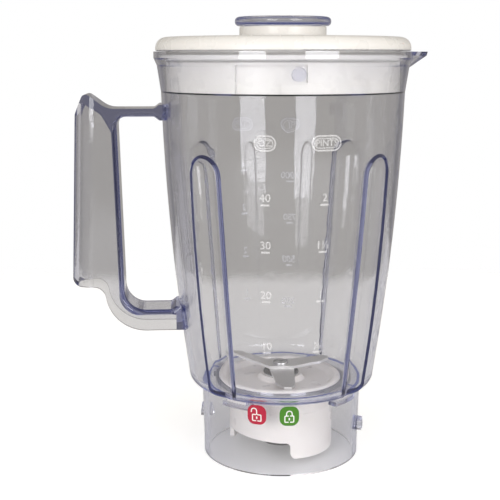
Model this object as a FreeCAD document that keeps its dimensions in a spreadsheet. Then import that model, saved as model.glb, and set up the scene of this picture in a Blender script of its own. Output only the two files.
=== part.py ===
import FreeCAD, Part
import math
import os
from collections import namedtuple

import Sketcher
from FreeCAD import Placement, Rotation, Vector

# The jar of a countertop blender: a clear jar with its handle and collar, a lid that turns to lock,
# a measuring cap and a blade unit that turns out of the collar from below.
#
# Millimetres, +Z up along the jar's axis, origin on that axis at the collar's lower edge.
# The handle points along -X, the spout along +X, and the front of the jar along -Y.
# Angles about the axis are counted from +X, and front is at -90 degrees.

FRONT = -90

SIZES = {
    # how far cutters run past a surface, and how deep added pieces reach into a wall
    "overcut": 1.0,
    "join_depth": 1.0,
    # jar wall: outside radii, from the rim down to the foot
    "rim_radius": 72.0,
    "rim_top": 232.5,
    "rim_underside": 229.0,
    "throat_radius": 70.2,
    "throat_height": 225.0,
    "shoulder_radius": 68.1,
    "shoulder_height": 210.5,
    "foot_radius": 54.1,
    "foot_height": 42.4,
    "foot_rounding": 7.0,
    "wall_belly": 1350.0,
    "wall": 2.6,
    "lid_ledge": 0.9,
    "floor_thickness": 2.8,
    "floor_hole_radius": 35.4,
    # four flutes pressed into the wall, on the diagonals
    "flute_top_height": 168.0,
    "flute_top_radius": 10.4,
    "flute_top_from_axis": 70.1,
    "flute_foot_height": 38.0,
    "flute_foot_radius": 11.1,
    "flute_foot_from_axis": 58.8,
    # spout: a beak with a thick lip
    "spout_apex": 84.9,
    "spout_half_width": 19.0,
    "spout_root": 62.0,
    "spout_tip_rounding": 5.0,
    "spout_lip": 2.2,
    "spout_lip_draft": 0.8,
    "spout_solid_tip": 7.0,
    "spout_foot_height": 221.5,
    "spout_foot_apex": 69.8,
    "spout_foot_half_width": 7.6,
    "spout_foot_rounding": 3.0,
    # pins inside the jar that hold the lid down
    "lid_pin_radius": 3.5,
    "lid_pin_height": 221.2,
    "lid_pin_reach": 63.7,
    "lid_pin_angle": 1.0,
    "lid_pin_join": 0.5,
    # handle: distances from the jar's axis, and heights
    "handle_width": 27.5,
    "handle_wall": 3.0,
    "handle_rounding": 3.0,
    "grip_rounding": 12.5,
    "grip_outside": 120.0,
    "grip_lean": 0.041,
    "grip_foot": 102.3,
    "grip_foot_rounding": 6.5,
    "grip_inside_top": 92.6,
    "grip_inside_foot": 90.0,
    "grip_corner_height": 195.3,
    "peak_distance": 110.0,
    "peak_height": 211.0,
    "saddle_distance": 97.5,
    "bar_top": 201.9,
    "bar_underside": 197.4,
    "upper_root": 69.3,
    "lower_root": 61.3,
    "root_flare": 2.0,
    "root_run": 2.6,
    "root_rounding": 2.0,
    "saddle_rounding": 12.0,
    "peak_rounding": 2.8,
    "grip_corner_rounding": 14.0,
    "grip_inside_top_rounding": 5.0,
    "arm_top_rounding": 12.0,
    "heel_bend": 7.0,
    "arm_top": 88.3,
    "arm_underside": 76.8,
    "arm_bend": 22.8,
    "arm_bend_distance": 78.1,
    # the hollow inside the handle
    "hollow_crown_distance": 110.6,
    "hollow_crown_height": 205.0,
    "hollow_gusset_distance": 101.0,
    "hollow_gusset_height": 198.6,
    "hollow_shoulder_height": 189.0,
    "hollow_overrun": 6.0,
    "hollow_outer_drop": 6.0,
    "hollow_outer_rounding": 9.0,
    "hollow_crown_rounding": 2.0,
    "hollow_gusset_rounding": 6.0,
    "hollow_shoulder_rounding": 5.0,
    # collar under the jar
    "collar_foot_radius": 45.6,
    "collar_top_radius": 46.5,
    "collar_straight": 9.0,
    "collar_wall": 2.6,
    "claw_reach": 38.5,
    "claw_underside": 36.4,
    "claw_thickness": 2.5,
    "claw_span": 24.0,
    "claw_angle": 49.5,
    "claw_stop_span": 3.0,
    "drive_lug_width": 6.2,
    "drive_lug_low": 15.6,
    "drive_lug_shoulder": 18.4,
    "drive_lug_high": 23.2,
    "drive_lug_reach": 48.9,
    "drive_lug_angle": -19.0,
    # lid
    "lid_top": 240.3,
    "lid_radius": 70.9,
    "lid_rounding": 6.0,
    "lid_rim_underside": 232.8,
    "lid_plate": 2.4,
    "lid_skirt_radius": 65.0,
    "lid_skirt_inside": 61.6,
    "lid_skirt_foot": 211.0,
    "neck_radius": 24.2,
    "neck_bore": 21.8,
    "neck_top": 246.1,
    "neck_root_rounding": 1.6,
    "neck_edge_rounding": 0.7,
    "lid_inside_rounding": 2.0,
    "lid_edge_rounding": 0.8,
    "lid_skirt_rounding": 0.6,
    "seal_seat_radius": 63.6,
    "seal_low": 227.4,
    "seal_high": 231.8,
    "seal_lip_radius": 69.0,
    "seal_lip_thickness": 1.8,
    "seal_lip_rounding": 0.4,
    "seal_collar": 0.6,
    "seal_slope": 0.4,
    "track_floor": 62.9,
    "track_top": 226.0,
    "track_ledge": 217.2,
    "track_entry_start": -27.4,
    "track_entry_end": -6.7,
    "track_end": 5.0,
    "detent_angle": -4.3,
    "detent_span": 1.2,
    "detent_height": 0.5,
    # measuring cap
    "cap_radius": 26.7,
    "cap_top": 251.3,
    "cap_underside": 246.4,
    "cap_rounding": 2.2,
    "cap_plug_radius": 21.4,
    "cap_plug_foot_radius": 20.6,
    "cap_plug_foot": 214.0,
    "cap_wall": 2.0,
    "cap_dish": 1.0,
    "cap_dish_rounding": 1.0,
    "cap_inside_rounding": 1.5,
    "cap_plug_rounding": 0.6,
    # blade holder
    "disc_radius": 34.9,
    "disc_top": 46.3,
    "disc_rim_width": 3.4,
    "dish_floor": 43.4,
    "dish_floor_radius": 28.5,
    "dish_rounding": 2.0,
    "disc_edge_rounding": 1.2,
    "disc_rim_rounding": 0.8,
    "plate_thickness": 2.6,
    "flange_radius": 38.0,
    "flange_low": 38.4,
    "flange_high": 41.0,
    "skirt_upper_radius": 31.2,
    "skirt_step": 31.0,
    "skirt_radius": 30.4,
    "skirt_foot": 13.6,
    "skirt_wall": 2.5,
    "skirt_step_height": 0.8,
    "skirt_level": 3.0,
    "skirt_rise": 2.2,
    "tab_foot": 4.0,
    "tab_start": 5.0,
    "tab_span": 77.0,
    "tab_rounding": 3.5,
    "tab_root_rounding": 3.0,
    "lug_radius": 42.9,
    "lug_low": 39.2,
    "lug_high": 41.6,
    "lug_span": 17.0,
    "lug_overlap": 0.15,
    "boss_radius": 12.6,
    "boss_foot": 22.0,
    "boss_rounding": 2.0,
    "boss_collar": 1.2,
    "boss_draft": 0.6,
    "rib_foot": 31.0,
    "rib_span": 5.0,
    "gasket_top": 42.3,
    "gasket_radius": 37.8,
    # bearing hub and its pieces
    "hub_radius": 9.0,
    "hub_foot": 20.0,
    "hub_flange_radius": 10.4,
    "hub_flange_low": 47.1,
    "hub_top": 48.3,
    "hub_seat": 46.3,
    "hub_foot_rounding": 0.6,
    "hub_flange_rounding": 0.9,
    "hub_gasket_inset": 0.2,
    "bush_radius": 6.5,
    "bush_length": 9.0,
    "running_gap": 0.04,
    "seal_radius": 7.4,
    "seal_foot": 43.0,
    "seal_top": 47.6,
    "seal_lip_length": 2.2,
    "seal_lip_draft": 0.6,
    "seal_lip_edge": 0.3,
    "seal_relief": 1.2,
    "seal_relief_slope": 0.4,
    "lock_ring_radius": 12.4,
    "lock_ring_thickness": 1.4,
    # blade shaft, blades and coupling
    "shaft_radius": 4.0,
    "shaft_foot": 12.4,
    "shaft_shoulder": 49.2,
    "spigot_radius": 3.2,
    "spigot_flat": 2.5,
    "blade_thickness": 1.6,
    "blade_half_width": 7.0,
    "blade_flat_half": 7.5,
    "blade_wing": 21.0,
    "rivet_radius": 4.6,
    "rivet_height": 1.3,
    "rivet_rounding": 0.8,
    "rivet_slot_width": 1.3,
    "rivet_slot_depth": 0.65,
    "blade_bend": 1.5,
    "blade_tip_reach": 2.0,
    "upper_blade_left_tilt": 22.0,
    "upper_blade_right_tilt": 7.0,
    "lower_blade_tilt": -12.0,
    "washer_radius": 6.8,
    "washer_thickness": 0.6,
    "clip_radius": 6.2,
    "clip_groove_radius": 3.3,
    "clip_thickness": 0.8,
    "clip_low": 18.2,
    "coupling_radius": 11.4,
    "coupling_foot": 4.6,
    "coupling_top": 17.4,
    "coupling_socket_radius": 9.2,
    "coupling_socket_top": 12.2,
    "coupling_tooth_reach": 7.2,
    "coupling_tooth_span": 20.0,
    "coupling_tooth_inset": 0.8,
    "coupling_foot_rounding": 0.8,
    "coupling_shoulder": 14.2,
    "coupling_shoulder_rounding": 1.2,
    "coupling_neck_radius": 8.2,
    "coupling_neck_rounding": 1.0,
    "insert_radius": 6.0,
}

SHEET = "Sizes"
CORE_CLEARANCE = 40.0

# a blade's plan on its front edge, then its back edge: share of its reach, share of its half width
BLADE_FRONT = (0.80, 0.72)
BLADE_POINT = 0.2
BLADE_BACK = (0.86, 0.80)


class Size:
    """A number that remembers the spreadsheet formula it comes from."""

    def __init__(self, value, formula):
        self.value = value
        self.formula = formula

    def __float__(self):
        return self.value

    def __neg__(self):
        return Size(-self.value, f"(-{self.formula})")

    def __add__(self, other):
        other = as_size(other)
        return Size(self.value + other.value, f"({self.formula} + {other.formula})")

    def __sub__(self, other):
        other = as_size(other)
        return Size(self.value - other.value, f"({self.formula} - {other.formula})")

    def __mul__(self, other):
        other = as_size(other)
        return Size(self.value * other.value, f"({self.formula} * {other.formula})")

    def __truediv__(self, other):
        other = as_size(other)
        return Size(self.value / other.value, f"({self.formula} / {other.formula})")

    __radd__ = __add__
    __rmul__ = __mul__

    def __rsub__(self, other):
        return as_size(other) - self


def as_size(number):
    """The same number as a Size; a plain number becomes its own formula."""
    if isinstance(number, Size):
        return number
    return Size(float(number), f"({float(number)!r})")


def sine(angle):
    angle = as_size(angle)
    return Size(math.sin(math.radians(angle.value)), f"sin({angle.formula})")


def cosine(angle):
    angle = as_size(angle)
    return Size(math.cos(math.radians(angle.value)), f"cos({angle.formula})")


def other_leg(long_side, short_side):
    """The third side of a right triangle."""
    value = math.sqrt(long_side.value ** 2 - short_side.value ** 2)
    return Size(value, f"sqrt({long_side.formula} ^ 2 - {short_side.formula} ^ 2)")


class SizeBook:
    """Gives each driving dimension as a Size: d.rim_radius and so on."""

    def __getattr__(self, alias):
        return Size(SIZES[alias], f"{SHEET}.{alias}")


d = SizeBook()
doc = FreeCAD.newDocument("BlenderJar")

Corner = namedtuple("Corner", "x y rounding bulge")


def at(x, y, rounding=None, bulge=None):
    """A corner of an outline. rounding is its fillet; bulge is the radius of an arc to the next corner,
    positive where the arc's centre lies to the left of the way the outline runs."""
    return Corner(as_size(x), as_size(y), rounding, bulge)


def make_sheet():
    """The spreadsheet of driving dimensions."""
    sheet = doc.addObject("Spreadsheet::Sheet", SHEET)
    for row, (alias, value) in enumerate(SIZES.items(), 1):
        sheet.set(f"A{row}", alias)
        sheet.set(f"B{row}", str(value))
        sheet.setAlias(f"B{row}", alias)
    doc.recompute()


# ---------------------------------------------------------------- outlines in sketches

def arc_between(start, end, centre, radius, leftward):
    """A circular arc from start to end. A sketch's arcs run anticlockwise, so one that turns right
    is drawn from its end."""
    first, last = (start, end) if leftward else (end, start)
    circle = Part.Circle(centre, Vector(0, 0, 1), radius)
    angles = [math.atan2(p.y - centre.y, p.x - centre.x) for p in (first, last)]
    return Part.ArcOfCircle(circle, angles[0], angles[1])


def round_off(before, here, after, radius):
    """Where a fillet of this radius leaves one side and joins the next, its centre, and its turn."""
    back = (before - here).normalize()
    ahead = (after - here).normalize()
    half = back.getAngle(ahead) / 2
    run = radius / math.tan(half)
    centre = here + (back + ahead).normalize() * (radius / math.sin(half))
    leftward = (here - before).cross(after - here).z > 0
    return here + back * run, here + ahead * run, centre, leftward


def bulge_centre(start, end, radius):
    chord = end - start
    side = 1 if radius > 0 else -1
    off = math.sqrt(radius ** 2 - (chord.Length / 2) ** 2)
    left = Vector(-chord.y, chord.x, 0).normalize()
    return (start + end) * 0.5 + left * (side * off)


def pin_down(rules, formulas, geometry, end, corner):
    """Rules that hold a point at its corner's distances from the sketch's origin."""
    for word, axis, size in (("DistanceX", -2, corner.x), ("DistanceY", -1, corner.y)):
        if abs(size.value) < 1e-9:
            rules.append(Sketcher.Constraint("PointOnObject", geometry, end, axis))
        else:
            formulas.append((len(rules), size.formula))
            rules.append(Sketcher.Constraint(word, -1, 1, geometry, end, size.value))


def draw(sketch, corners):
    """A closed outline through the corners, every size of it bound to the spreadsheet."""
    count = len(corners)
    points = [Vector(c.x.value, c.y.value, 0) for c in corners]
    starts, ends, fillets = list(points), [points[(i + 1) % count] for i in range(count)], {}
    for i, corner in enumerate(corners):
        if corner.rounding is not None:
            radius = float(corner.rounding)
            after = points[(i + 1) % count]
            leave, join, centre, leftward = round_off(points[i - 1], points[i], after, radius)
            ends[i - 1], starts[i] = leave, join
            fillets[i] = (leave, join, centre, leftward, as_size(corner.rounding))

    shapes, rules, formulas = [], [], []
    first_end, last_end = {}, {}
    for i, corner in enumerate(corners):
        if corner.bulge is None:
            shapes.append(Part.LineSegment(starts[i], ends[i]))
            first_end[i], last_end[i] = 1, 2
            continue
        bulge = as_size(corner.bulge)
        leftward = bulge.value > 0
        centre = bulge_centre(starts[i], ends[i], bulge.value)
        shapes.append(arc_between(starts[i], ends[i], centre, abs(bulge.value), leftward))
        first_end[i], last_end[i] = (1, 2) if leftward else (2, 1)
        size = bulge if leftward else -bulge
        formulas.append((len(rules), size.formula))
        rules.append(Sketcher.Constraint("Radius", i, size.value))

    for i, corner in enumerate(corners):
        before = (i - 1) % count
        if i not in fillets:
            rules.append(Sketcher.Constraint("Coincident", before, last_end[before], i, first_end[i]))
            pin_down(rules, formulas, i, first_end[i], corner)
            continue
        leave, join, centre, leftward, radius = fillets[i]
        arc = len(shapes)
        shapes.append(arc_between(leave, join, centre, radius.value, leftward))
        arc_start, arc_end = (1, 2) if leftward else (2, 1)
        rules.append(Sketcher.Constraint("Tangent", before, last_end[before], arc, arc_start))
        rules.append(Sketcher.Constraint("Tangent", arc, arc_end, i, first_end[i]))
        formulas.append((len(rules), radius.formula))
        rules.append(Sketcher.Constraint("Radius", arc, radius.value))

    sketch.addGeometry(shapes, False)
    for i in fillets:
        point = sketch.addGeometry(Part.Point(points[i]), True)
        rules.append(Sketcher.Constraint("PointOnObject", point, 1, (i - 1) % count))
        rules.append(Sketcher.Constraint("PointOnObject", point, 1, i))
        pin_down(rules, formulas, point, 1, corners[i])
    sketch.addConstraint(rules)
    for index, formula in formulas:
        sketch.setExpression(f"Constraints[{index}]", formula)
    return sketch


def draw_circle(sketch, x, y, radius):
    """A circle bound to the spreadsheet."""
    x, y, radius = as_size(x), as_size(y), as_size(radius)
    shape = Part.Circle(Vector(x.value, y.value, 0), Vector(0, 0, 1), radius.value)
    circle = sketch.addGeometry(shape, False)
    rules, formulas = [], []
    pin_down(rules, formulas, circle, 3, Corner(x, y, None, None))
    formulas.append((len(rules), radius.formula))
    rules.append(Sketcher.Constraint("Radius", circle, radius.value))
    sketch.addConstraint(rules)
    for index, formula in formulas:
        sketch.setExpression(f"Constraints[{index}]", formula)
    return sketch


# ---------------------------------------------------------------- bodies and their features

def new_body(name):
    return doc.addObject("PartDesign::Body", name)


def origin_feature(body, role):
    return next(f for f in body.Origin.OriginFeatures if f.Role == role)


def sketch_on(body, name, plane, turn=0.0, away=0.0):
    """An empty sketch on an origin plane of the body, turned about the jar's axis and then moved
    along the plane's normal. On XZ the sketch's x is the distance from the axis and its y the height."""
    turn, away = as_size(turn), as_size(away)
    sketch = body.newObject("Sketcher::SketchObject", name)
    sketch.AttachmentSupport = [(origin_feature(body, plane), "")]
    sketch.MapMode = "FlatFace"
    upright = plane != "XY_Plane"
    spin = Rotation(Vector(0, 1, 0) if upright else Vector(0, 0, 1), turn.value)
    sketch.AttachmentOffset = Placement(spin.multVec(Vector(0, 0, away.value)), spin)
    if away.value and upright:
        sketch.setExpression("AttachmentOffset.Base.x", (away * sine(turn)).formula)
        sketch.setExpression("AttachmentOffset.Base.z", (away * cosine(turn)).formula)
    elif away.value:
        sketch.setExpression("AttachmentOffset.Base.z", away.formula)
    return sketch


def add_feature(body, kind, name, sketch, **sizes):
    """A sketch-based feature; sizes are Sizes to bind or plain settings."""
    feature = body.newObject(f"PartDesign::{kind}", name)
    feature.Profile = sketch
    if kind in ("Revolution", "Groove"):
        feature.ReferenceAxis = (sketch, ["V_Axis"])
    for word, value in sizes.items():
        if isinstance(value, Size):
            setattr(feature, word, value.value)
            feature.setExpression(word, value.formula)
        else:
            setattr(feature, word, value)
    sketch.Visibility = False
    body.Tip = feature
    return feature


def turned(body, name, corners, span=360.0, centre=0.0, kind="Revolution"):
    """A full turn of an outline about the axis, or a sector of one about the angle `centre`."""
    sketch = draw(sketch_on(body, f"{name}_outline", "XZ_Plane", turn=centre), corners)
    settings = {"Angle": as_size(span)}
    if float(span) < 360.0:
        settings["Midplane"] = True
    return add_feature(body, kind, name, sketch, **settings)


def ring(name, inner, outer, low, high):
    """A plain ring or washer about the axis."""
    body = new_body(name)
    turned(body, f"{name}_turn", [at(inner, low), at(outer, low), at(outer, high), at(inner, high)])
    return body


def box_corners(inner, outer, low, high):
    return [at(inner, low), at(outer, low), at(outer, high), at(inner, high)]


def around(body, feature, count, name):
    """Repeats a feature evenly about the axis."""
    pattern = body.newObject("PartDesign::PolarPattern", name)
    pattern.Originals = [feature]
    pattern.Axis = (origin_feature(body, "Z_Axis"), [""])
    pattern.Angle = 360
    pattern.Occurrences = count
    body.Tip = pattern
    return pattern


def fillet_edges(body, name, radius, wanted):
    """Rounds the edges of the body's tip for which wanted(edge) is true."""
    doc.recompute()
    base = body.Tip
    names = [f"Edge{i}" for i, edge in enumerate(base.Shape.Edges, 1) if wanted(edge)]
    if not names:
        raise ValueError(f"{name} finds no edge to round")
    fillet = body.newObject("PartDesign::Fillet", name)
    fillet.Base = (base, names)
    fillet.Radius = radius.value
    fillet.setExpression("Radius", radius.formula)
    body.Tip = fillet
    return fillet


def combine(kind, name, base, tool):
    result = doc.addObject(f"Part::{kind}", name)
    result.Base = base
    result.Tool = tool
    return result


def fuse_all(name, pieces):
    result = doc.addObject("Part::MultiFuse", name)
    result.Shapes = pieces
    return result


# ---------------------------------------------------------------- the jar, its handle and its collar

def jar_wall_corners(inset, foot, top):
    """The jar's silhouette, moved inwards by inset, from its foot to its top and back along the axis.
    The inside has a small sloping ledge under the lid."""
    rounding = d.foot_rounding - inset
    shoulder = d.shoulder_radius - inset
    ledge = [at(shoulder + d.lid_ledge, d.shoulder_height + d.lid_ledge)] if inset.value else []
    return [
        at(0, foot),
        at(d.foot_radius - inset - rounding, foot, bulge=rounding),
        at(d.foot_radius - inset, foot + rounding, bulge=d.wall_belly + inset),
        at(shoulder, d.shoulder_height),
        *ledge,
        at(d.throat_radius - inset, d.throat_height),
        at(d.rim_radius - inset, d.rim_underside),
        at(d.rim_radius - inset, top),
        at(0, top),
    ]


def make_jar_solid(name, inset, foot, top):
    body = new_body(name)
    turned(body, f"{name}_turn", jar_wall_corners(inset, foot, top))
    return body


def make_flutes(name, growth):
    """The four flute cutters: tapering cones leaning with the wall, each with a round top."""
    length_up = d.flute_top_height - d.flute_foot_height
    lean_out = d.flute_top_from_axis - d.flute_foot_from_axis
    lean = math.degrees(math.atan2(lean_out.value, length_up.value))
    length = math.hypot(lean_out.value, length_up.value)
    pieces = []
    for number in range(4):
        around_axis = Rotation(Vector(0, 0, 1), 45 + 90 * number)
        tilt = around_axis * Rotation(Vector(0, 1, 0), lean)
        foot = around_axis.multVec(Vector(d.flute_foot_from_axis.value, 0, d.flute_foot_height.value))
        cone = doc.addObject("Part::Cone", f"{name}_{number}_channel")
        cone.setExpression("Radius1", (d.flute_foot_radius + growth).formula)
        cone.setExpression("Radius2", (d.flute_top_radius + growth).formula)
        cone.Height = length
        cone.Placement = Placement(foot, tilt)
        crown = doc.addObject("Part::Sphere", f"{name}_{number}_crown")
        crown.setExpression("Radius", (d.flute_top_radius + growth).formula)
        crown.Placement = Placement(foot + tilt.multVec(Vector(0, 0, length)), tilt)
        pieces += [cone, crown]
    return fuse_all(name, pieces)


def plan_sketch(name, height, corners):
    """A loose sketch lying level at a height."""
    sketch = doc.addObject("Sketcher::SketchObject", name)
    sketch.Placement = Placement(Vector(0, 0, height.value), Rotation())
    sketch.setExpression("Placement.Base.z", height.formula)
    return draw(sketch, corners)


def lofted(name, sections):
    """A straight-sided loft through loose sketches."""
    loft = doc.addObject("Part::Loft", name)
    loft.Sections = sections
    loft.Solid = True
    loft.Ruled = True
    return loft


def spout_corners(apex, half_width, rounding):
    return [at(d.spout_root, -half_width), at(apex, 0, rounding=rounding), at(d.spout_root, half_width)]


def make_spout():
    """A beak that grows out of the wall and ends in a thick lip at the rim."""
    foot = plan_sketch("spout_foot", d.spout_foot_height,
                       spout_corners(d.spout_foot_apex, d.spout_foot_half_width, d.spout_foot_rounding))
    lip = plan_sketch("spout_lip_underside", d.rim_top - d.spout_lip,
                      spout_corners(d.spout_apex - d.spout_lip_draft, d.spout_half_width,
                                    d.spout_tip_rounding))
    top = plan_sketch("spout_top", d.rim_top,
                      spout_corners(d.spout_apex, d.spout_half_width, d.spout_tip_rounding))
    return lofted("spout", [foot, lip, top])


def make_spout_channel():
    """The way out for the liquid, inside the beak: it stops short of the solid tip."""
    half_width = d.spout_half_width - d.wall
    foot = plan_sketch("spout_channel_foot", d.spout_foot_height,
                       spout_corners(d.spout_foot_apex - d.wall, half_width / 2,
                                     d.spout_foot_rounding / 2))
    top = plan_sketch("spout_channel_top", d.rim_top + d.spout_lip_draft,
                      spout_corners(d.spout_apex - d.spout_solid_tip, half_width, d.spout_foot_rounding))
    return lofted("spout_channel", [foot, top])


def make_lid_pins():
    """Two round pins that stick inwards from the throat, at the front and the back."""
    pins = []
    for name, angle in (("front_pin", FRONT + d.lid_pin_angle), ("back_pin", -FRONT + d.lid_pin_angle)):
        body = new_body(name)
        sketch = sketch_on(body, f"{name}_outline", "YZ_Plane", turn=angle, away=d.lid_pin_reach)
        draw_circle(sketch, 0, d.lid_pin_height, d.lid_pin_radius)
        buried = d.throat_radius - d.wall + d.lid_pin_join
        add_feature(body, "Pad", f"{name}_pad", sketch, Length=buried - d.lid_pin_reach)
        pins.append(body)
    return pins


def make_jar():
    """The clear jar: wall with four flutes, floor with a round hole, spout, rim and lid pins. It hands
    back the jar's plain outside, which shapes the handle's roots."""
    none = as_size(0)
    outside = make_jar_solid("jar_outside", none, d.foot_height, d.rim_top)
    cavity = make_jar_solid("jar_cavity", d.wall, d.foot_height + d.floor_thickness,
                            d.rim_top + CORE_CLEARANCE)
    fluted = combine("Cut", "jar_outside_fluted", outside, make_flutes("flutes", none))
    with_spout = fuse_all("jar_outside_spout", [fluted, make_spout()])
    ribbed = combine("Cut", "jar_cavity_ribbed", cavity, make_flutes("ribs", d.wall))
    hole = doc.addObject("Part::Cylinder", "floor_hole")
    hole.setExpression("Radius", d.floor_hole_radius.formula)
    hole.setExpression("Height", d.rim_underside.formula)
    core = fuse_all("jar_core", [ribbed, make_spout_channel(), hole])
    shell = combine("Cut", "jar_shell", with_spout, core)
    fuse_all("jar", [shell, *make_lid_pins()])
    return outside


def grip_edge(height):
    """How far out the grip's leaning outer edge is at a height."""
    return d.grip_outside - (height - d.grip_foot) * d.grip_lean


def heel_points():
    """Where the grip's foot turns down into the arm: the start of the hollow bend, and the point where
    it runs into the arm's own bend."""
    rise = (d.arm_underside + d.arm_bend) - (d.grip_foot - d.heel_bend)
    reach = d.heel_bend + d.arm_bend
    across = other_leg(reach, rise)
    start = d.arm_bend_distance + across
    share = d.heel_bend / reach
    return start, start - across * share, d.grip_foot - d.heel_bend + rise * share


def handle_outline():
    """The side view of the handle, from the upper root round the grip to the lower root."""
    buried = d.foot_radius - d.wall
    heel_start, bend_x, bend_height = heel_points()
    return [
        at(-buried, d.bar_underside - d.root_flare),
        at(-buried, d.bar_top + d.root_flare),
        at(-d.upper_root, d.bar_top + d.root_flare),
        at(-d.upper_root - d.root_run, d.bar_top, rounding=d.root_rounding),
        at(-d.saddle_distance, d.bar_top, rounding=d.saddle_rounding),
        at(-d.peak_distance, d.peak_height, rounding=d.peak_rounding),
        at(-grip_edge(d.grip_corner_height) - d.overcut, d.grip_corner_height,
           rounding=d.grip_corner_rounding),
        at(-d.grip_outside - d.overcut, d.grip_foot, rounding=d.grip_foot_rounding),
        at(-heel_start, d.grip_foot, bulge=-d.heel_bend),
        at(-bend_x, bend_height, bulge=d.arm_bend),
        at(-d.arm_bend_distance, d.arm_underside),
        at(-buried, d.arm_underside),
        at(-buried, d.arm_top + d.root_flare),
        at(-d.lower_root, d.arm_top + d.root_flare),
        at(-d.lower_root - d.root_run, d.arm_top, rounding=d.root_rounding),
        at(-d.grip_inside_foot, d.arm_top, rounding=d.arm_top_rounding),
        at(-d.grip_inside_top, d.bar_underside, rounding=d.grip_inside_top_rounding),
        at(-d.upper_root - d.root_run, d.bar_underside, rounding=d.root_rounding),
        at(-d.upper_root, d.bar_underside - d.root_flare),
    ]


def handle_hollow():
    """The side view of the hollow: up inside the grip, and along the arm, open underneath. It leaves a
    thick gusset where the bar meets the grip."""
    wall = d.handle_wall
    below = d.arm_underside - d.hollow_overrun
    outer = d.grip_outside + wall
    return [
        at(-d.lower_root, d.arm_top - wall),
        at(-d.lower_root, below),
        at(-outer, below),
        at(-outer, d.hollow_crown_height - d.hollow_outer_drop, rounding=d.hollow_outer_rounding),
        at(-d.hollow_crown_distance, d.hollow_crown_height, rounding=d.hollow_crown_rounding),
        at(-d.hollow_gusset_distance, d.hollow_gusset_height, rounding=d.hollow_gusset_rounding),
        at(-d.grip_inside_top - wall, d.hollow_shoulder_height, rounding=d.hollow_shoulder_rounding),
        at(-d.grip_inside_foot - wall, d.arm_top - wall, rounding=d.arm_top_rounding),
    ]


def make_handle_plan(name, inset):
    """A leaning upright block with the handle's plan: rounded off at the grip's outer edge."""
    half = d.handle_width / 2 - inset
    sections = []
    for end, height in (("low", d.foot_height), ("high", d.rim_top)):
        outside = grip_edge(height) - inset
        sections.append(plan_sketch(f"{name}_{end}", height, [
            at(-outside, half, rounding=d.grip_rounding - inset),
            at(-outside, -half, rounding=d.grip_rounding - inset),
            at(-d.foot_radius + d.foot_rounding, -half),
            at(-d.foot_radius + d.foot_rounding, half),
        ]))
    return lofted(name, sections)


def make_handle(jar_outside):
    """The hollow clear handle, with its two roots shaped to the jar's wall."""
    body = new_body("handle_blank")
    outline = draw(sketch_on(body, "handle_outline", "XZ_Plane"), handle_outline())
    add_feature(body, "Pad", "handle_pad", outline, Length=d.handle_width, Midplane=True)
    grip_length = d.bar_underside.value - d.arm_top.value

    def beside_fingers(edge):
        return edge.Length > 0.8 * grip_length and edge.CenterOfMass.x > -d.grip_inside_top.value

    fillet_edges(body, "handle_rounding", d.handle_rounding, beside_fingers)
    core = new_body("handle_core")
    hollow = draw(sketch_on(core, "handle_hollow", "XZ_Plane"), handle_hollow())
    add_feature(core, "Pad", "handle_core_pad", hollow, Length=d.handle_width, Midplane=True)

    rounded = combine("Common", "handle_rounded", body, make_handle_plan("handle_plan", as_size(0)))
    void = combine("Common", "handle_void", core, make_handle_plan("handle_void_plan", d.handle_wall))
    shell = combine("Cut", "handle_shell", rounded, void)
    return combine("Cut", "handle", shell, jar_outside)


def make_collar():
    """The clear collar under the jar, with four claws inside and two drive lugs outside."""
    body = new_body("base_collar")
    wall = d.collar_wall
    turned(body, "collar_turn", [
        at(d.collar_foot_radius - wall, 0),
        at(d.collar_foot_radius, 0),
        at(d.collar_foot_radius, d.collar_straight),
        at(d.collar_top_radius, d.foot_height),
        at(d.collar_top_radius - wall, d.foot_height),
        at(d.collar_foot_radius - wall, d.collar_straight),
    ])
    buried = d.collar_top_radius - wall + d.join_depth
    claw_top = d.claw_underside + d.claw_thickness
    claw = turned(body, "claw", box_corners(d.claw_reach, buried, d.claw_underside, claw_top),
                  span=d.claw_span, centre=d.claw_angle)
    around(body, claw, 4, "claws")
    stop_centre = d.claw_angle + d.claw_span / 2 - d.claw_stop_span / 2
    stop = turned(body, "claw_stop", box_corners(d.claw_reach, buried, claw_top, d.foot_height),
                  span=d.claw_stop_span, centre=stop_centre)
    around(body, stop, 4, "claw_stops")
    start = d.collar_foot_radius - wall / 2
    half = d.drive_lug_width / 2
    sketch = sketch_on(body, "drive_lug_outline", "YZ_Plane", turn=d.drive_lug_angle, away=start)
    draw(sketch, [
        at(-half, d.drive_lug_low),
        at(half, d.drive_lug_low),
        at(half, d.drive_lug_shoulder),
        at(0, d.drive_lug_high),
        at(-half, d.drive_lug_shoulder),
    ])
    lug = add_feature(body, "Pad", "drive_lug", sketch, Length=d.drive_lug_reach - start)
    around(body, lug, 2, "drive_lugs")
    return body


# ---------------------------------------------------------------- lid, seal and measuring cap

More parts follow.
